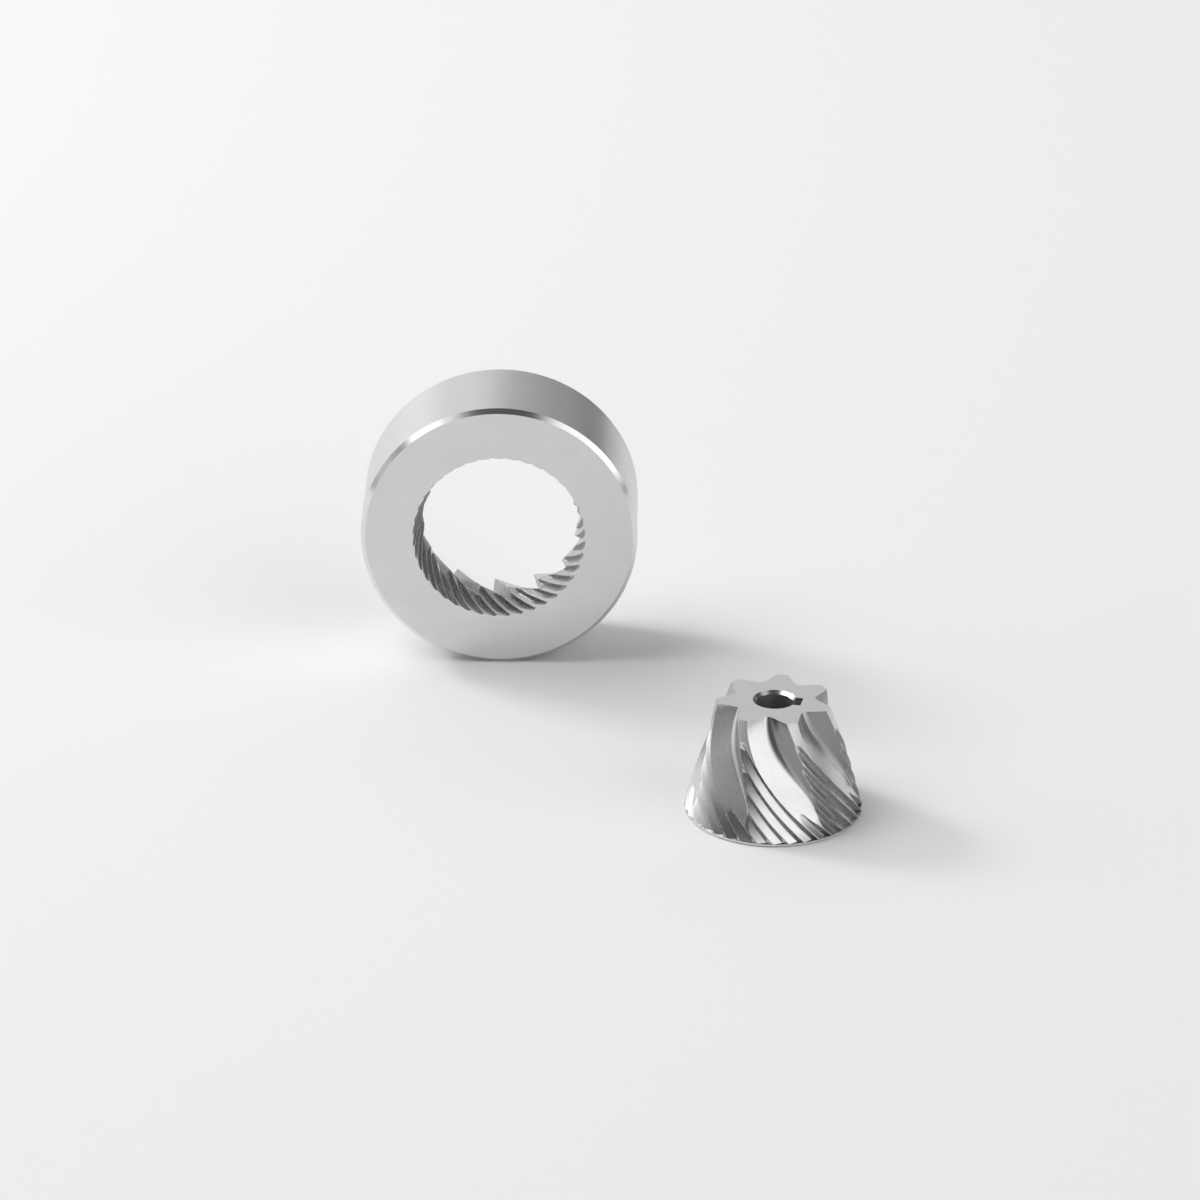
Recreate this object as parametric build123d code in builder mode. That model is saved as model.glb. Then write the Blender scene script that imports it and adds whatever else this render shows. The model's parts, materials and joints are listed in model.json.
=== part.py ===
"""Conical burr set of a coffee grinder: a cone burr and the ring burr that it turns in.

Millimetres and degrees, +Z up. The two burrs stand side by side on a table, as they do when the
set is taken out of its grinder. The cone burr stands on its wide end, and the origin is the
middle of that end, on the axis of the drive shaft. The ring burr stands on its rim, behind the
cone and to its left, with the face where the ground coffee leaves towards -Y.

Beans enter both burrs at their coarse end and leave at their fine end. A height on the cone is
measured up from its wide end, and a depth in the ring is measured in from its fine face, so both
grow towards the coarse end. Angles run anticlockwise from +X, in the cone's top face as seen
from above and in the ring's fine face as seen from in front.
"""
import os
from math import cos, radians, sin

from build123d import *

# Cone burr
cone_radius = 19.4  # over the fine teeth, at the wide end
cone_top_radius = 12.5  # over the blades, at the narrow end
cone_height = 26.0
cone_rim_height = 0.7  # plain band under the fine teeth
cone_rim_chamfer = 0.3
shaft_radius = 4.0  # bore for an 8 mm drive shaft
bore_chamfer = 0.9
key_width = 3.0
key_depth = 1.4  # from the bore's wall out to the keyway's floor
key_angle = -15.0

# Flutes of the cone, which feed the beans down to the fine teeth, with a blade between each two.
# A flute has a broad floor from its back edge down to its root, and a steep cutting face from
# there up to its cutting edge.
blade_count = 7
flute_top_depth = 4.1  # of the root under the blades
flute_foot_depth = 0.8
flute_foot_height = 5.6  # where the flute starts to run out
flute_end_height = 3.0  # where it has run out
flute_end_width = 13.0  # degrees
back_angle = -75.3  # of each of the three lines, at the flute's foot
root_angle = -58.5
edge_angle = -57.5
back_sweep = 43.6  # degrees that each line turns, from the foot up to the top face
root_sweep = 40.0
edge_sweep = 21.6
line_bend = 1.5  # the back edge turns most near the foot and the cutting edge near the top, by this power

# Fine teeth of the cone
cone_tooth_angle = -64.3  # of the root of the groove behind a blade, at the rim
cone_tooth_twist = 2.85  # degrees per mm of height
cone_tooth_depth = 0.85
cone_tooth_cut = 0.25  # share of the pitch that the steep cutting face takes
cone_tooth_back = 0.72  # share of the pitch that the sloping back takes
cone_tooth_fade = 2.4  # mm of height over which a groove fades, at each of its ends
cone_tooth_reaches = (21.0, 7.5, 7.5, 16.5, 16.5)  # heights of a blade's grooves, the long one first

# Fit of the cone in the ring, with the grinder at its finest setting
cone_proud = 1.6  # how far the cone's wide end stands out of the ring
grind_gap = 0.3  # between their fine teeth, at the ring's fine face
throat_gap = 0.95  # between the cone and the ring, at the ring's throat

# Ring burr
ring_radius = 31.5
ring_width = 25.0
ring_chamfer = 1.0
ring_throat_depth = 10.3  # where its fine teeth and its ribs meet, and its bore is narrowest
ring_mouth_flare = 4.5  # from the throat's radius to the radius over the ribs at the coarse face
ring_wall = 4.5  # between the pockets and the rim, at the coarse face
ring_left = 61.5  # from the shaft's axis to the ring's axis
ring_behind = 72.5  # from the shaft's axis to the ring's fine face

# Fine teeth of the ring
ring_tooth_count = 40
ring_tooth_angle = -57.5  # of a groove's root, at the fine face
ring_tooth_twist = 2.1  # degrees per mm of depth
ring_tooth_depth = 0.8
ring_tooth_exit_depth = 0.45  # at the fine face
ring_tooth_cut = 0.2
ring_tooth_back = 0.74
ring_tooth_fade = 3.0
ring_tooth_reach = 12.0

# Breaker ribs of the ring, with a pocket for the beans between each two
rib_count = 15
rib_angle = -84.0  # of a rib's crest, at the throat
rib_twist = 0.71
rib_land = 1.5  # degrees across the crest
pocket_start_depth = 6.5
pocket_start_width = 2.0

# Cutters reach a little past the surface that they cut, so that no face lies in it
clearance = 0.05
overrun = 1.0
wide_overrun = 4.0  # of the flutes' cutter, whose flat outer side is wide
facet_length = 4.3  # of the flat facets in which the helical cutters turn, along the axis

cone_slope = (cone_radius - cone_top_radius) / (cone_height - cone_rim_height)
cone_tooth_pitch = 360 / (blade_count * len(cone_tooth_reaches))
ring_tooth_pitch = 360 / ring_tooth_count
rib_pitch = 360 / rib_count
ring_centre = (-ring_left, ring_behind, ring_radius)
ring_axis = Axis(ring_centre, (0, 1, 0))
fine_face = Plane(ring_centre, x_dir=(1, 0, 0), z_dir=(0, -1, 0))


def cone_surface(height):
    """Radius over the cone's teeth and blades."""
    return cone_radius - cone_slope * (height - cone_rim_height)


ring_fine_radius = cone_surface(cone_proud) + grind_gap
ring_throat_radius = cone_surface(cone_proud + ring_throat_depth) + throat_gap
ring_mouth_radius = ring_throat_radius + ring_mouth_flare


def ring_surface(depth):
    """Radius over the ring's teeth and ribs, which narrows to the throat and widens again."""
    if depth < ring_throat_depth:
        return ring_fine_radius + (ring_throat_radius - ring_fine_radius) * depth / ring_throat_depth
    share = (depth - ring_throat_depth) / (ring_width - ring_throat_depth)
    return ring_throat_radius + ring_mouth_flare * share


def stations(start, end):
    """Evenly spaced places from start to end, about a facet's length apart."""
    count = max(1, round((end - start) / facet_length))
    return [start + (end - start) * number / count for number in range(count + 1)]


def notch(plane, root, surface, angle, back, front, reach):
    """Corners of a V-shaped cut on a plane, whose root has this radius and angle.

    Its sides meet the surface at so many degrees back and in front of the root, and it is open
    on the far side of the surface, out to the reach. A negative reach points to the axis.
    """
    corners = [(root, angle)]
    corners += [(surface, angle + front), (surface + reach, angle + front)]
    corners += [(surface + reach, angle - back), (surface, angle - back)]
    flat = [(radius * cos(radians(turn)), radius * sin(radians(turn)), 0) for radius, turn in corners]
    return [plane.from_local_coords(corner) for corner in flat]


def helical_cutter(sections):
    """Solid through the sections, whose sides follow the helix in flat triangular facets."""
    facets = [sections[0], sections[-1]]
    for lower, upper in zip(sections, sections[1:]):
        for corner in range(len(lower)):
            facets.append([lower[corner - 1], lower[corner], upper[corner]])
            facets.append([lower[corner - 1], upper[corner], upper[corner - 1]])
    return Solid(Shell([Face(Wire.make_polygon(corners)) for corners in facets]))


def flute_section(height):
    """Corners of a flute's cut at a height from its foot up."""
    surface = cone_surface(height)
    rise = min(1, (height - flute_foot_height) / (cone_height - flute_foot_height))
    depth = flute_foot_depth + (flute_top_depth - flute_foot_depth) * rise
    back = back_angle - back_sweep * (1 - (1 - rise) ** line_bend)
    root = root_angle - root_sweep * rise**2 * (3 - 2 * rise)
    edge = edge_angle - edge_sweep * rise**line_bend
    level = Plane.XY.offset(height)
    return notch(level, surface - depth, surface + clearance, root, root - back, edge - root, wide_overrun)


def flute_end_section():
    """Corners of a flute's cut where it leaves the cone."""
    surface = cone_surface(flute_end_height)
    level = Plane.XY.offset(flute_end_height)
    half = flute_end_width / 2
    return notch(level, surface + clearance / 2, surface + clearance, root_angle, half, half, wide_overrun)


def cone_groove(reach):
    """Cutter for one fine groove of the cone, from the rim up to the height where it runs out."""
    sections = []
    full_depth = stations(cone_rim_height + cone_tooth_fade, reach - cone_tooth_fade)
    for height in [cone_rim_height, *full_depth, reach]:
        surface = cone_surface(height)
        depth = cone_tooth_depth if height in full_depth else -clearance / 2
        angle = cone_tooth_angle - cone_tooth_twist * (height - cone_rim_height)
        back = cone_tooth_back * cone_tooth_pitch
        front = cone_tooth_cut * cone_tooth_pitch
        level = Plane.XY.offset(height)
        sections.append(notch(level, surface - depth, surface + clearance, angle, back, front, overrun))
    return helical_cutter(sections)


def ring_groove():
    """Cutter for one fine groove of the ring, from its fine face in to past the throat."""
    sections = []
    full_depth = stations(ring_tooth_fade, ring_tooth_reach - ring_tooth_fade)
    for depth in [-overrun, *full_depth, ring_tooth_reach]:
        surface = ring_surface(depth)
        root = surface + ring_tooth_depth
        if depth < 0:
            root = surface + ring_tooth_exit_depth
        if depth == ring_tooth_reach:
            root = surface - clearance / 2
        angle = ring_tooth_angle - ring_tooth_twist * depth
        back = ring_tooth_back * ring_tooth_pitch
        front = ring_tooth_cut * ring_tooth_pitch
        level = fine_face.offset(-depth)
        sections.append(notch(level, root, surface - clearance, angle, back, front, -overrun))
    return helical_cutter(sections)


def ring_pocket():
    """Cutter for one bean pocket of the ring, from where it starts in the fine teeth to the mouth."""
    sections = []
    start_root = ring_surface(pocket_start_depth) - clearance / 2
    slope = (ring_radius - ring_wall - start_root) / (ring_width - pocket_start_depth)
    halfway = (ring_throat_depth + ring_width) / 2
    for depth in (pocket_start_depth, ring_throat_depth, halfway, ring_width + overrun):
        surface = ring_surface(depth)
        root = start_root + slope * (depth - pocket_start_depth)
        angle = rib_angle - rib_twist * (depth - ring_throat_depth) - rib_land / 2
        back = rib_pitch - rib_land if depth > pocket_start_depth else pocket_start_width
        level = fine_face.offset(-depth)
        sections.append(notch(level, root, surface - clearance, angle, back, 0, -overrun))
    return helical_cutter(sections)


# The cone burr: a turned and bored blank, then its flutes, its fine teeth and its keyway
flute_heights = stations(flute_foot_height, cone_height) + [cone_height + overrun]
flute = helical_cutter([flute_end_section(), *map(flute_section, flute_heights)])
cone_grooves = [cone_groove(reach) for reach in cone_tooth_reaches]

with BuildPart() as cone_burr:
    with BuildSketch(Plane.XZ):
        with BuildLine():
            Polyline(
                (shaft_radius, 0),
                (cone_radius - cone_rim_chamfer, 0),
                (cone_radius, cone_rim_chamfer),
                (cone_radius, cone_rim_height),
                (cone_top_radius, cone_height),
                (shaft_radius + bore_chamfer, cone_height),
                (shaft_radius, cone_height - bore_chamfer),
                close=True,
            )
        make_face()
    revolve(axis=Axis.Z)
    with PolarLocations(0, blade_count):
        add(flute, mode=Mode.SUBTRACT)
    for number, groove in enumerate(cone_grooves):
        with PolarLocations(0, blade_count, start_angle=number * cone_tooth_pitch):
            add(groove, mode=Mode.SUBTRACT)
    with BuildSketch():
        with Locations(Location((0, 0, 0), key_angle)):
            Rectangle(shaft_radius + key_depth, key_width, align=(Align.MIN, Align.CENTER))
    extrude(amount=cone_height, mode=Mode.SUBTRACT)
cone_burr.part.label = "cone_burr"

# The ring burr: a turned blank, then its bean pockets and its fine teeth
pocket = ring_pocket()
groove = ring_groove()

with BuildPart() as ring_burr:
    with BuildSketch(Plane(ring_centre, x_dir=(0, 1, 0), z_dir=(1, 0, 0))):
        with BuildLine():
            Polyline(
                (0, ring_fine_radius),
                (0, ring_radius - ring_chamfer),
                (ring_chamfer, ring_radius),
                (ring_width - ring_chamfer, ring_radius),
                (ring_width, ring_radius - ring_chamfer),
                (ring_width, ring_mouth_radius),
                (ring_throat_depth, ring_throat_radius),
                close=True,
            )
        make_face()
    revolve(axis=ring_axis)
    for number in range(rib_count):
        add(pocket.rotate(ring_axis, number * rib_pitch), mode=Mode.SUBTRACT)
    for number in range(ring_tooth_count):
        add(groove.rotate(ring_axis, number * ring_tooth_pitch), mode=Mode.SUBTRACT)
ring_burr.part.label = "ring_burr"

os.makedirs("parts", exist_ok=True)
for burr in (cone_burr, ring_burr):
    export_step(burr.part, f"parts/{burr.part.label}.step")
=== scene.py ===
"""Conical burr set of a coffee grinder: the cone burr and, behind it, the ring burr on its rim."""
import json

import bpy
import numpy as np
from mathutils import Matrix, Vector


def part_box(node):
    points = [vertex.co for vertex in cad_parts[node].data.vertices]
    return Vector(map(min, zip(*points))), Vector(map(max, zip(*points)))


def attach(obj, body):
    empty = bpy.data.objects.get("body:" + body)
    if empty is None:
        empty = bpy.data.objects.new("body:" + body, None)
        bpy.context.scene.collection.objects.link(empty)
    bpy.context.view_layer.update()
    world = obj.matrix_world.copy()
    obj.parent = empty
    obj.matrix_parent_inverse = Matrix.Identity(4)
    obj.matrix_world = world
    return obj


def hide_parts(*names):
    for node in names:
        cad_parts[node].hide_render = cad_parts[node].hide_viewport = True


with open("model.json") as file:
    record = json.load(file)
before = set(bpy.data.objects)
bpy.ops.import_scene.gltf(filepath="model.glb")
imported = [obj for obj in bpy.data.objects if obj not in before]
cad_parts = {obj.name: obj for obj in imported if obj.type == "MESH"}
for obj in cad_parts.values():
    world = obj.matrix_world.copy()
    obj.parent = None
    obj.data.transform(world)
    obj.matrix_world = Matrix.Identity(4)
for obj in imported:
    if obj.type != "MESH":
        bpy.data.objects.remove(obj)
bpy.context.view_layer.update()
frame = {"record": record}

# ---------------------------------------------------------------------------------------------
# The cone burr: one piece of tool steel, turned to a cone, bored and keyed for the drive shaft,
# milled with seven helical flutes between its blades, and cut with thirty-five fine helical
# grooves, whose crests do the grinding. It stands on its wide end.

# The blank and its bore. Sizes are in mm, and angles in degrees anticlockwise as seen from above.
mm = 0.001
scene = bpy.context.scene
cone_low, cone_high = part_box("cone_burr")
shaft = next(mount for mount in frame["record"]["mounts"] if mount["name"] == "shaft_bore")
cone_radius = (cone_high.x - cone_low.x) / 2 / mm
cone_top_radius = 12.5
cone_height = cone_high.z / mm
rim_height = 0.7
rim_chamfer = 0.3
ledge_fall = 0.01  # of the narrow ledge between the grooves' feet and the rim
shaft_radius = shaft["dims"]["r_mm"]
bore_chamfer = 0.7
key_width = 3.6
key_depth = 2.0  # from the bore's wall out to the keyway's floor
key_angle = -12.0
cone_slope = (cone_radius - cone_top_radius) / (cone_height - rim_height)

# The flutes. Each has a back edge, a root and a cutting edge: three lines that start at these
# angles at the flute's foot, and turn clockwise by their sweep on the way up to the top face.
blade_count = 7
flute_top_depth = 4.1
flute_foot_depth = 0.8
flute_foot = 5.6  # height where a flute starts to run out
flute_end = 3.0  # height where it has run out
flute_end_width = 13.0  # degrees
back_angle, back_sweep = -75.3, 43.6
root_angle, root_sweep = -58.5, 40.0
edge_angle, edge_sweep = -57.5, 21.6
line_bend = 1.5  # power that bends the back edge and the cutting edge
ridge_depth = 0.55  # of the ridge on the cutting face, as a share of the flute's depth
ridge_place = 0.55  # share of the way from the root to the cutting edge
flute_fillet = 0.4  # share of the flute's depth
blade_pitch = 360 / blade_count

# The fine grooves, five to a blade, each up to a height of its own.
groove_angle = -64.3
groove_twist = 2.85  # degrees per mm
groove_depth = 0.85
groove_face, groove_back = 0.38, 0.58  # shares of the pitch
groove_fade = 1.6  # from a groove's top down to its full depth
groove_reaches = (21.0, 7.5, 7.5, 16.5, 16.5)
groove_pitch = blade_pitch / len(groove_reaches)
edge_round = 0.05  # of every edge between two cuts
tiny = 1e-9  # keeps a division clear of zero


def wall(turn, start, end):
    """Radius of a straight wall as seen from the axis, at angles in degrees.

    The wall joins two corners, each a radius and an angle. The ray at an angle t meets it at
    r1 r2 sin(a2 - a1) / (r2 sin(a2 - t) + r1 sin(t - a1)).
    """
    (near, first), (far, last) = start, end
    across = near * far * np.sin(np.radians(last - first))
    return across / (far * np.sin(np.radians(last - turn)) + near * np.sin(np.radians(turn - first)))


def least(one, other, edge):
    """The smaller of two radii, with the corner where they cross eased over about the edge.

    With s = 1/2 + (other - one) / (2 edge), held within 0 and 1, it is
    other + (one - other) s - edge s (1 - s).
    """
    share = np.clip(0.5 + (other - one) / (2 * edge), 0, 1)
    return other + (one - other) * share - edge * share * (1 - share)


def most(one, other, edge):
    """The larger of two radii, eased in the same way."""
    return -least(-one, -other, edge)


def wrapped(turn, start, pitch):
    """The same angle, brought into the pitch that begins at the start."""
    return (turn - start) % pitch + start


def flute(turn, height, blank):
    """Radius of the flutes: a broad floor down to the root, and the steep cutting face in front of it.

    With h the share of the way from the flute's foot up to the top, the back edge has turned by
    1 - (1 - h)^bend of its sweep, the root by h^2 (3 - 2h) of it and the cutting edge by h^bend.
    The depth grows evenly with h. Below the foot it falls to nothing, while the edges draw evenly
    to the end's width. Straight walls join the three lines. The cutting face has two flats, which
    meet at a low ridge, and a fillet joins it to the floor. Clear of the flutes the radius lies
    1 mm outside the blank, which leaves it whole. The second answer is 1 on the cutting face and
    0 on the floor.
    """
    rise = np.clip((height - flute_foot) / (cone_height - flute_foot), 0, 1)
    opened = np.clip((height - flute_end) / (flute_foot - flute_end), 0, 1)
    depth = (flute_foot_depth + (flute_top_depth - flute_foot_depth) * rise) * opened
    root = root_angle - root_sweep * rise**2 * (3 - 2 * rise)
    back = root - back_angle + back_sweep * (1 - (1 - rise) ** line_bend)
    front = edge_angle - edge_sweep * rise**line_bend - root
    back = flute_end_width / 2 * (1 - opened) + back * opened
    front = flute_end_width / 2 * (1 - opened) + front * opened
    local = wrapped(turn - root, -back, blade_pitch)
    deepest = (blank - depth, 0)
    ridge = (blank - ridge_depth * depth, ridge_place * front)
    floor = wall(local, (blank, -back), deepest)
    face = np.where(local < ridge[1], wall(local, deepest, ridge), wall(local, ridge, (blank, front)))
    fillet = flute_fillet * depth + tiny
    cut = most(floor, face, fillet)
    steep = np.clip(0.5 + (face - floor) / (2 * fillet), 0, 1)
    outside = (local < -back) | (local > front) | (depth <= 0)
    return np.where(outside, blank + 1, cut), steep


def groove(turn, height, blank, number):
    """Radius of the fine grooves that have this number in their blade: a steep face and a sloping back.

    Their root turns clockwise by the twist for each mm of height. At its top a groove grows from
    nothing over the fade, and at its foot it runs out on the rim. Clear of them the radius lies
    1 mm outside the blank. The second answer is true on the steep face.
    """
    depth = groove_depth * np.clip((groove_reaches[number] - height) / groove_fade, 0, 1)
    root = groove_angle + number * groove_pitch - groove_twist * (height - rim_height)
    back, front = groove_back * groove_pitch, groove_face * groove_pitch
    local = wrapped(turn - root, -blade_pitch / 2, blade_pitch)
    deepest = (blank - depth, 0)
    cut = np.maximum(wall(local, (blank, -back), deepest), wall(local, deepest, (blank, front)))
    outside = (local < -back) | (local > front) | (depth <= 0)
    return np.where(outside, blank + 1, cut), local > 0


def cone_outline(turn, height):
    """Radius of the cone burr at angles and a height: the least of its blank, flutes and grooves.

    The second answer is 1 on the steep cutting faces of flutes and grooves, and 0 elsewhere.
    """
    blank = cone_radius - cone_slope * (height - rim_height)
    cuts = [flute(turn, height, blank)]
    cuts += [groove(turn, height, blank, number) for number in range(len(groove_reaches))]
    radius, steep = blank + 0 * turn, 0 * turn
    for cut, face in cuts:
        steep = np.where(cut < radius, face, steep)
        radius = least(radius, cut, edge_round)
    return radius, steep


def shaft_bore(turn):
    """Radius of the shaft's bore, or of its keyway where that lies further out.

    At an angle t from the keyway's middle, its floor is at (shaft radius + depth) / cos t and its
    sides at half its width / sin t. Past 1 radian the sides lie inside the bore.
    """
    off = np.minimum(np.abs(np.radians(wrapped(turn - key_angle, -180, 360))), 1)
    key = np.minimum((shaft_radius + key_depth) / np.cos(off), key_width / 2 / np.sin(off + tiny))
    return np.maximum(shaft_radius, key)


def lean(height):
    """Degrees that the columns of points have turned at a height.

    They follow the grooves' twist. Above the ease's start they turn less, by the ease times the
    square of the way above it, because the flutes run more steeply there.
    """
    ease, ease_start = 0.055, 10
    return -groove_twist * height + ease * np.maximum(height - ease_start, 0) ** 2


def row(radius, turn, height):
    """Points at these radii and angles round the Z axis, at one height: r cos t, r sin t and the height."""
    radius = radius + np.zeros_like(turn)
    turn = np.radians(turn)
    return np.stack([radius * np.cos(turn), radius * np.sin(turn), height + np.zeros_like(turn)], axis=-1)


def ringed(name, rows, steep, finishes, shift):
    """A closed surface from rows of points round an axis, with the last row joined to the first.

    All rows have the same number of points, and the last join meets points so many places on. The
    faces after each row have one of the finishes. Each point keeps two values for the materials:
    how far it belongs to a steep cutting face, which the materials darken as painted shade, and its
    path in mm. The path's X and Y go round a circle, which leaves no seam, and its Z goes along the
    columns, as the cutter went.
    """
    rows = np.array(rows)
    count, around = rows.shape[:2]
    index = np.arange(count * around).reshape(count, around)
    after = np.vstack([index[1:], np.roll(index[:1], -shift, axis=1)])
    quads = np.stack([index, np.roll(index, 1, axis=1), np.roll(after, 1, axis=1), after], axis=-1)
    mesh = bpy.data.meshes.new(name)
    mesh.vertices.add(count * around)
    mesh.vertices.foreach_set("co", (rows * mm).astype(np.float32).ravel())
    mesh.loops.add(quads.size)
    mesh.loops.foreach_set("vertex_index", quads.astype(np.int32).ravel())
    mesh.polygons.add(quads.size // 4)
    mesh.polygons.foreach_set("loop_start", np.arange(0, quads.size, 4, dtype=np.int32))
    mesh.update(calc_edges=True)
    mesh.polygons.foreach_set("material_index", np.repeat(finishes, around).astype(np.int32))
    mesh.shade_smooth()
    crease = 32  # degrees
    mesh.set_sharp_from_angle(angle=np.radians(crease))
    circle = 15  # radius, near those of the burrs' teeth
    turn = np.arange(around) * 2 * np.pi / around
    along = np.cumsum(np.linalg.norm(np.diff(rows, axis=0, prepend=rows[:1]), axis=-1).mean(axis=1))
    path = np.broadcast_arrays(circle * np.cos(turn), circle * np.sin(turn), along[:, None])
    values = mesh.attributes.new("path", "FLOAT_VECTOR", "POINT").data
    values.foreach_set("vector", np.stack(path, axis=-1).astype(np.float32).ravel())
    values = mesh.attributes.new("steep", "FLOAT", "POINT").data
    values.foreach_set("value", np.array(steep, np.float32).ravel())
    piece = bpy.data.objects.new(name, mesh)
    scene.collection.objects.link(piece)
    return piece


def linear(colour):
    """An sRGB hex colour as the linear colour and alpha that a shader takes."""
    shares = np.array([int(colour[place:place + 2], 16) for place in (1, 3, 5)]) / 255
    return (*np.where(shares < 0.04045, shares / 12.92, ((shares + 0.055) / 1.055) ** 2.4), 1)


def node(tree, kind, settings=(), links=()):
    """Adds a node to a tree, with its properties and input values set and its inputs linked."""
    made = tree.nodes.new(kind)
    for name, value in dict(settings).items():
        if isinstance(name, str) and hasattr(made, name):
            setattr(made, name, value)
        else:
            made.inputs[name].default_value = value
    for name, output in dict(links).items():
        tree.links.new(output, made.inputs[name])
    return made


def steel(name, colour, roughness, lines, relief, turned_about=None, painted_shade_colour=None):
    """Hardened tool steel with the fine lines that its last cut left in it.

    The lines have a length round the piece and a length along the path, and stand up by the
    relief, all in mm. Real ones are under a tenth of a mm apart, and these are drawn two to five
    times as coarse, so that they show. They and a slower noise, the clouds that handling leaves,
    vary the roughness by 15 percent either way and darken the steel by up to 8 percent. Lines
    turned about an axis also stretch its reflections. Steep faces can be given a darker colour,
    which is painted shade.
    """
    material = bpy.data.materials.new(name)
    material.use_nodes = True
    tree = material.node_tree
    shader = tree.nodes["Principled BSDF"]
    shader.inputs["Metallic"].default_value = 1

    around, along = lines
    path = node(tree, "ShaderNodeAttribute", {"attribute_name": "path"}).outputs["Vector"]
    per_mm = {"operation": "MULTIPLY", 1: (1 / around, 1 / around, 1 / along)}
    drawn = node(tree, "ShaderNodeVectorMath", per_mm, {0: path}).outputs[0]
    cut = node(tree, "ShaderNodeTexNoise", {"Scale": 1, "Detail": 3, "Roughness": 0.6}, {"Vector": drawn})
    place = node(tree, "ShaderNodeTexCoord").outputs["Object"]
    cloud_width = 20 / 3
    clouded = {"Scale": 1 / (cloud_width * mm), "Detail": 2}
    cloud = node(tree, "ShaderNodeTexNoise", clouded, {"Vector": place})

    blend = {"data_type": "FLOAT", 0: 0.35}
    dull = node(tree, "ShaderNodeMix", blend, {2: cut.outputs[0], 3: cloud.outputs[0]}).outputs[0]
    spread = {"From Min": 0.3, "From Max": 0.7}
    dulled = {**spread, "To Min": roughness * 0.85, "To Max": roughness * 1.15}
    rough = node(tree, "ShaderNodeMapRange", dulled, {"Value": dull})
    darkened = {**spread, "To Min": 1.0, "To Max": 0.92}
    tone = node(tree, "ShaderNodeMapRange", darkened, {"Value": dull})
    scaled = {"operation": "SCALE", 0: linear(colour)[:3]}
    toned = node(tree, "ShaderNodeVectorMath", scaled, {"Scale": tone.outputs["Result"]})
    bump = node(tree, "ShaderNodeBump", {"Strength": 1, "Distance": relief * mm}, {"Height": cut.outputs[0]})
    tree.links.new(toned.outputs[0], shader.inputs["Base Color"])
    tree.links.new(rough.outputs["Result"], shader.inputs["Roughness"])
    tree.links.new(bump.outputs["Normal"], shader.inputs["Normal"])

    # Painted shade: where the "steep" attribute marks a steep cutting face, the colour is mixed towards a
    # darker one.
    if painted_shade_colour:
        steep = node(tree, "ShaderNodeAttribute", {"attribute_name": "steep"}).outputs["Fac"]
        colours = {"data_type": "RGBA", 6: linear(colour), 7: linear(painted_shade_colour)}
        mixed = node(tree, "ShaderNodeMix", colours, {0: steep}).outputs[2]
        tree.links.new(mixed, toned.inputs[0])
    if turned_about:
        tangent = node(tree, "ShaderNodeTangent", {"direction_type": "RADIAL", "axis": turned_about})
        tree.links.new(tangent.outputs["Tangent"], shader.inputs["Tangent"])
        shader.inputs["Anisotropic"].default_value = 0.5
        shader.inputs["Anisotropic Rotation"].default_value = 0.25
    return material


# The columns of points lean with the grooves, from the top face down to the rim. Their whole turn
# is rounded to a whole number of columns, so that the last row meets the first.
cone_columns = 200 * blade_count
cone_levels = 64
column = np.arange(cone_columns) * 360 / cone_columns
whole_lean = lean(rim_height) - lean(cone_height)
cone_shift = round(whole_lean * cone_columns / 360)
rounding = cone_shift * 360 / cone_columns / whole_lean
rim_turn = column + rounding * whole_lean
bore = shaft_bore(column)
mouth = np.maximum(bore, shaft_radius + bore_chamfer)
star = cone_outline(column, cone_height)[0]
cone_rows = [
    row(bore, column, 0),
    row(bore, column, cone_height - bore_chamfer),
    row(mouth, column, cone_height),
    row((mouth + star) / 2, column, cone_height),
]
plain = 0 * column
cone_steep = [plain] * len(cone_rows)
for height in np.linspace(cone_height, rim_height, cone_levels):
    turn = column + rounding * (lean(height) - lean(cone_height))
    radius, steep = cone_outline(turn, height)
    cone_rows.append(row(radius, turn, height))
    cone_steep.append(steep)
cone_rows.append(row(cone_radius, rim_turn, rim_height - ledge_fall))
cone_rows.append(row(cone_radius, rim_turn, rim_chamfer))
cone_rows.append(row(cone_radius - rim_chamfer, rim_turn, 0))
cone_steep += [plain] * 3
reamed, chamfered, ground, milled = range(4)
cone_finishes = [reamed, chamfered, ground, ground] + [milled] * cone_levels + [ground] * 3
cone = ringed("cone", cone_rows, cone_steep, cone_finishes, cone_shift)

# Reamed: dull, with rings round the bore that break up what little light gets in.
reamed_steel = steel("tool_steel_reamed_bore", "#bcbcbc", 0.45, (20, 0.5), 0.08)
# Chamfered with a keen tool: smooth enough to mirror the room in a narrow bright crescent.
polished_steel = steel("tool_steel_polished_chamfer", "#d0d0d0", 0.2, (20, 0.2), 0.002)
# Ground flat: an even soft grey, with a fine grain that runs in no direction.
ground_steel = steel("tool_steel_ground_face", "#e0e0e0", 0.32, (1 / 3, 1 / 3), 0.0005)
# Milled: bright broad reflections with fine lines along the flutes, and painted shade on the cutting faces.
milled_steel = steel("tool_steel_milled_flutes", "#dadada", 0.26, (0.2, 2.5), 0.009, painted_shade_colour="#949494")
for finish in (reamed_steel, polished_steel, ground_steel, milled_steel):
    cone.data.materials.append(finish)
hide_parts("cone_burr")
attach(cone, "cone")

# ---------------------------------------------------------------------------------------------
# The ring burr: one piece of the same steel, turned, bored out in fifteen pockets between helical
# ribs that break the beans, and cut with forty fine grooves at its front face. It stands on its
# rim, with its axis level.

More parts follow.
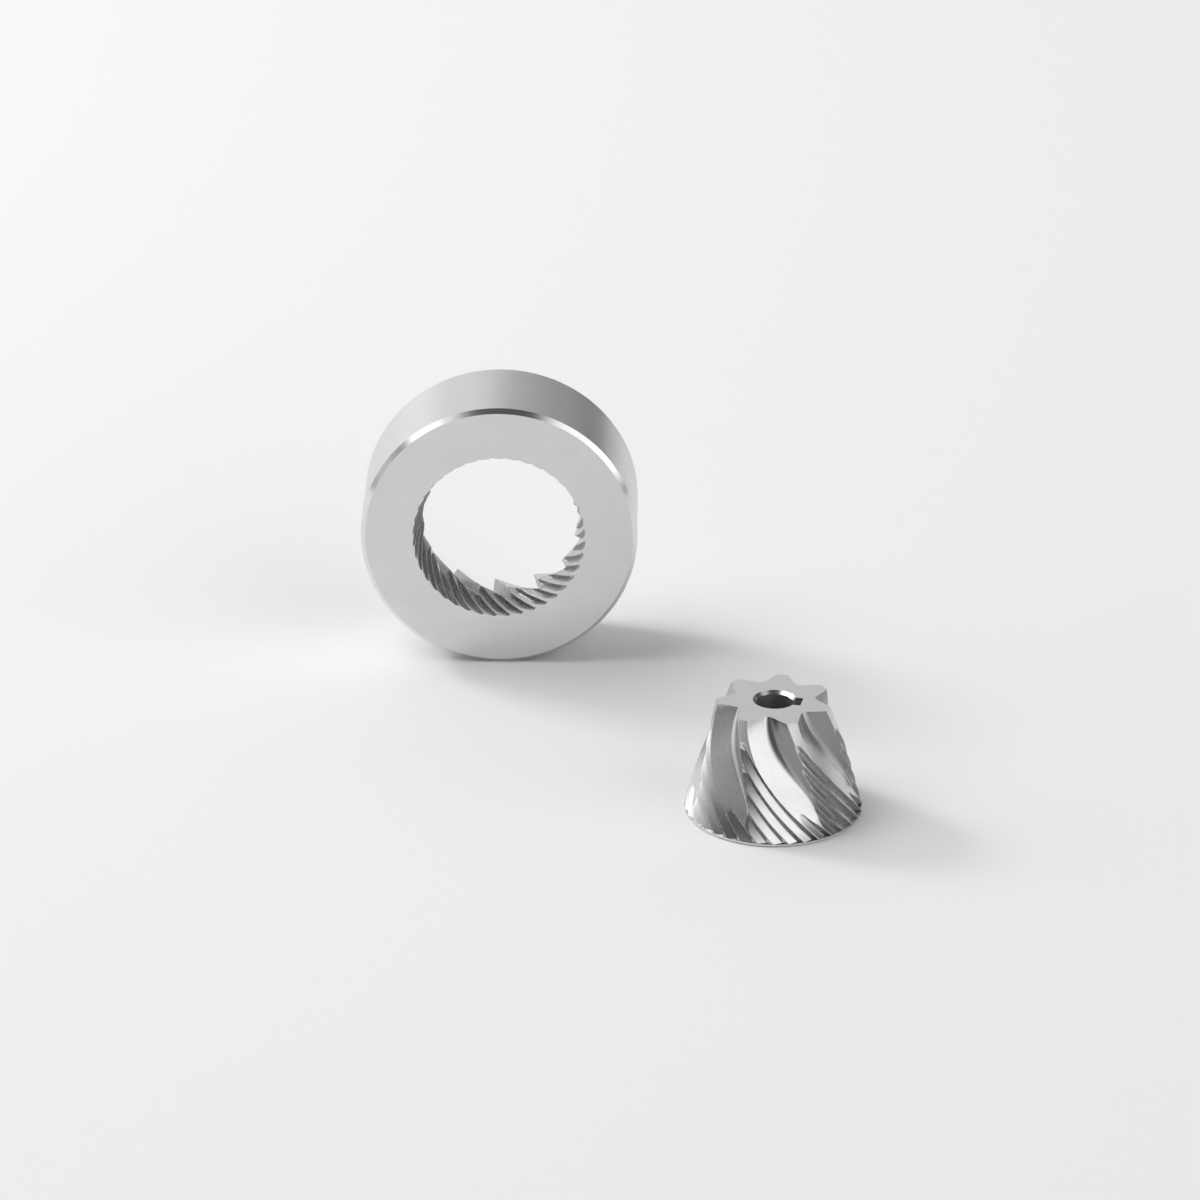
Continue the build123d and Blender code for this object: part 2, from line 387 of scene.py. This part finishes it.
# The blank, with depths measured from its front face and angles anticlockwise as seen from the
# front. Its bore leaves a gap round the cone, which would stand so far proud of the front face if
# it were put in.
ring_low, ring_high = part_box("ring_burr")
ring_radius = (ring_high.z - ring_low.z) / 2 / mm
ring_width = (ring_high.y - ring_low.y) / mm
ring_chamfer = 1.0
ring_wall = 4.5  # between the pockets and the rim, at the back
cone_proud = 1.6
grind_gap = 0.3  # at the front face
throat_gap = 0.95  # at the throat
throat_depth = 10.3
mouth_flare = 4.5  # from the throat's radius to that of the ribs at the back
fine_radius = cone_radius - cone_slope * (cone_proud - rim_height) + grind_gap
throat_radius = cone_radius - cone_slope * (cone_proud + throat_depth - rim_height) + throat_gap

# The fine grooves, which run out past the throat.
tooth_count = 40
tooth_angle = -57.5  # at the front face
tooth_twist = 2.1  # degrees per mm
tooth_depth = 0.8
tooth_exit_depth = 0.3  # at the front face
tooth_face, tooth_back = 0.2, 0.74  # shares of the pitch
tooth_fade = 3.0
tooth_reach = 12.0
tooth_pitch = 360 / tooth_count

# The ribs, with a pocket for the beans between each two.
rib_count = 15
rib_angle = -84.0  # at the throat
rib_twist = 0.71  # degrees per mm
rib_land = 1.5  # degrees across a rib's crest
face_lean = 0.4  # degrees across a rib's steep face
pocket_start = 6.5  # depth where a pocket begins
pocket_start_width = 2.0  # degrees
rib_pitch = 360 / rib_count


def ring_surface(depth):
    """Radius over the ring's teeth and ribs: it narrows evenly to the throat and then widens evenly."""
    inward = fine_radius + (throat_radius - fine_radius) * depth / throat_depth
    outward = throat_radius + mouth_flare * (depth - throat_depth) / (ring_width - throat_depth)
    return np.where(depth < throat_depth, inward, outward)


def pocket(turn, depth, surface):
    """Radius of the bean pockets: a long back that falls to the root, and the rib's steep face.

    The root falls evenly from the surface, at the pocket's start, to the ring's wall at the back.
    The pocket's width grows evenly from its start to the throat, where it takes the whole pitch
    but the rib's land. Clear of the pockets the radius lies 1 mm inside the surface, which leaves
    it whole. The second answer is true on the steep face.
    """
    start_root = ring_surface(pocket_start)
    slope = (ring_radius - ring_wall - start_root) / (ring_width - pocket_start)
    opened = np.clip((depth - pocket_start) / (throat_depth - pocket_start), 0, 1)
    width = pocket_start_width + (rib_pitch - rib_land - pocket_start_width) * opened
    local = turn - (rib_angle - rib_twist * (depth - throat_depth)) + rib_land / 2
    local = wrapped(local, rib_land - rib_pitch, rib_pitch)
    deepest = (start_root + slope * (depth - pocket_start), 0)
    back = wall(local, (surface, -width), deepest)
    face = wall(local, deepest, (surface, face_lean))
    outside = (local < -width) | (local > face_lean) | (depth <= pocket_start)
    return np.where(outside, surface - 1, np.where(local < 0, back, face)), local > 0


def tooth(turn, depth, surface):
    """Radius of the ring's fine grooves: a sloping back and a steep face.

    They deepen over the fade behind the front face, and grow shallow over the fade before their
    reach. Clear of them the radius lies 1 mm inside the surface. The second answer is true on the
    steep face.
    """
    deep = tooth_exit_depth + (tooth_depth - tooth_exit_depth) * np.clip(depth / tooth_fade, 0, 1)
    deep = deep * np.clip((tooth_reach - depth) / tooth_fade, 0, 1)
    local = turn - (tooth_angle - tooth_twist * depth)
    width, front = tooth_back * tooth_pitch, tooth_face * tooth_pitch
    local = wrapped(local, -width, tooth_pitch)
    deepest = (surface + deep, 0)
    back = wall(local, (surface, -width), deepest)
    face = wall(local, deepest, (surface, front))
    outside = (local > front) | (deep <= 0)
    return np.where(outside, surface - 1, np.where(local < 0, back, face)), local > 0


def ring_outline(turn, depth):
    """Radius of the ring's bore at angles and a depth: the most of its surface, pockets and grooves."""
    radius, steep = ring_surface(depth) + 0 * turn, 0 * turn
    for cut, face in (pocket(turn, depth, radius), tooth(turn, depth, radius)):
        steep = np.where(cut > radius, face, steep)
        radius = most(radius, cut, edge_round)
    return radius, steep


def ring_row(radius, turn, depth):
    """Points at these radii and angles round the ring's axis, at one depth behind its front face."""
    across, up, depth = np.moveaxis(row(radius, turn, depth), -1, 0)
    centre = (ring_low + ring_high) / 2 / mm
    return np.stack([centre.x + across, ring_low.y / mm + depth, centre.z + up], axis=-1)


# From the back to the throat the columns turn with the ribs, and from there to the front with the
# grooves. Again their whole turn is rounded to a whole number of columns.
ring_columns = 45 * tooth_count
back_levels, front_levels = 25, 21
column = np.arange(ring_columns) * 360 / ring_columns
depths = np.append(
    np.linspace(ring_width, throat_depth, back_levels),
    np.linspace(throat_depth, 0, front_levels + 1)[1:],
)
twists = tooth_twist * np.minimum(depths, throat_depth) + rib_twist * np.maximum(depths - throat_depth, 0)
ring_shift = round(twists[0] * ring_columns / 360)
twists *= ring_shift * 360 / ring_columns / twists[0]
ring_rows, ring_steep = [], []
for depth, twist in zip(depths, twists):
    radius, steep = ring_outline(column - twist, depth)
    ring_rows.append(ring_row(radius, column - twist, depth))
    ring_steep.append(steep)
for radius, depth in (
    (ring_radius - ring_chamfer, 0),
    (ring_radius, ring_chamfer),
    (ring_radius, ring_width - ring_chamfer),
    (ring_radius - ring_chamfer, ring_width),
):
    ring_rows.append(ring_row(radius, column, depth))
    ring_steep.append(0 * column)
turned, chamfered, ground, broached = range(4)
ring_finishes = [broached] * (len(depths) - 1) + [ground, chamfered, turned, chamfered, ground]
ring = ringed("ring", ring_rows, ring_steep, ring_finishes, ring_shift)

# Turned: lines round the rim, which draw its reflections out into bands across it.
turned_steel = steel("tool_steel_turned_rim", "#dadada", 0.3, (20, 0.2), 0.003, turned_about="Y")
# Chamfered in the same setting with a finishing cut: close to a mirror, a thin line of light.
finished_steel = steel("tool_steel_turned_chamfer", "#e6e6e6", 0.16, (20, 0.2), 0.002)
# Broached: lines along the grooves and ribs, a little greyer than the cone, with painted shade on the steep
# faces.
broached_steel = steel(
    "tool_steel_broached_teeth", "#c8c8c8", 0.26, (0.25, 10 / 3), 0.006, painted_shade_colour="#a8a8a8")
for finish in (turned_steel, finished_steel, ground_steel, broached_steel):
    ring.data.materials.append(finish)
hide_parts("ring_burr")
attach(ring, "ring")

# ---------------------------------------------------------------------------------------------
# The table: a board painted matt white, far wider than the two burrs, which stand loose on it. It
# is not part of the object.

table_reach = 3  # metres
corners = [(-table_reach, -table_reach, 0), (table_reach, -table_reach, 0)]
corners += [(table_reach, table_reach, 0), (-table_reach, table_reach, 0)]
table_mesh = bpy.data.meshes.new("table")
table_mesh.from_pydata(corners, [], [(0, 1, 2, 3)])
table = bpy.data.objects.new("table", table_mesh)
scene.collection.objects.link(table)

# Matt paint: it has hardly any gloss, so it shows only shade and the burrs' soft shadows.
paint = bpy.data.materials.new("matt_white_table")
paint.use_nodes = True
shader = paint.node_tree.nodes["Principled BSDF"]
shader.inputs["Base Color"].default_value = linear("#f6f6f6")
shader.inputs["Roughness"].default_value = 0.9
shader.inputs["Specular IOR Level"].default_value = 0.2
table_mesh.materials.append(paint)

# ---------------------------------------------------------------------------------------------
# The camera: a long lens 1.2 m away, which gives hardly any perspective, looking down on the two
# burrs at about 25 degrees.


def heading(azimuth, elevation):
    """The direction at an azimuth from +Y, clockwise as seen from above, and an elevation, in degrees."""
    azimuth, elevation = np.radians([azimuth, elevation])
    level = np.cos(elevation)
    return Vector((np.sin(azimuth) * level, np.cos(azimuth) * level, np.sin(elevation)))


camera_place = Vector((-25.93, -1070.16, 543.04)) * mm
look_azimuth, look_elevation = -0.6303, -24.7607
lens = bpy.data.cameras.new("camera")
lens.lens = 165
lens.sensor_width = 36
lens.clip_start = 0.05
camera = bpy.data.objects.new("camera", lens)
camera.location = camera_place
camera.rotation_euler = heading(look_azimuth, look_elevation).to_track_quat("-Z", "Y").to_euler()
scene.collection.objects.link(camera)
scene.camera = camera

# ---------------------------------------------------------------------------------------------
# The light: a softbox on the left, behind the burrs, and a dim room with bright patches, which the
# steel mirrors. A patch has an azimuth, an elevation, an angle within which it is full, one past
# which it is gone, and a strength.

room_strength = 0.1
patches = (
    (120, 30, 10, 35, 1.21),  # on the right
    (100, 15, 5, 20, 0.49),  # low on the right
    (150, 10, 5, 20, 1.02),  # low in front, on the right
    (150, 32, 4, 18, 0.26),  # above it
    (-50, 30, 22, 60, 0.86),  # a broad one behind, on the left
    (-90, 60, 5, 25, 2.7),  # high on the left
    (-108, 41, 4, 14, 1.6),  # a small one on the left
    (-82, 14, 6, 24, 0.7),  # low on the left
    (-130, 22, 5, 20, 0.24),  # in front, on the left
    (30, 30, 5, 25, 0.56),  # behind, on the right
    (0, 27, 5, 20, 0.2),  # straight behind
)
world = bpy.data.worlds.new("studio")
world.use_nodes = True
scene.world = world
tree = world.node_tree
direction = node(tree, "ShaderNodeTexCoord").outputs["Generated"]
light = node(tree, "ShaderNodeValue").outputs[0]
light.default_value = room_strength
for azimuth, elevation, full, gone, strength in patches:
    towards = {"operation": "DOT_PRODUCT", 1: heading(azimuth, elevation)}
    nearness = node(tree, "ShaderNodeVectorMath", towards, {0: direction}).outputs["Value"]
    fading = {
        "interpolation_type": "SMOOTHSTEP",
        "From Min": np.cos(np.radians(gone)),
        "From Max": np.cos(np.radians(full)),
        "To Max": strength,
    }
    patch = node(tree, "ShaderNodeMapRange", fading, {"Value": nearness})
    total = node(tree, "ShaderNodeMath", {"operation": "ADD"}, {0: light, 1: patch.outputs["Result"]})
    light = total.outputs[0]
tree.links.new(light, tree.nodes["Background"].inputs["Strength"])
tree.nodes["Background"].inputs["Color"].default_value = (1, 1, 1, 1)

softbox = bpy.data.lights.new("softbox", "AREA")
softbox.energy = 7.2
softbox.size = 0.36
softbox_distance = 1.6
lamp = bpy.data.objects.new("softbox", softbox)
lamp.location = heading(-60, 33) * softbox_distance
lamp.rotation_euler = (-lamp.location).to_track_quat("-Z", "Y").to_euler()
scene.collection.objects.link(lamp)

scene.view_settings.view_transform = "Standard"
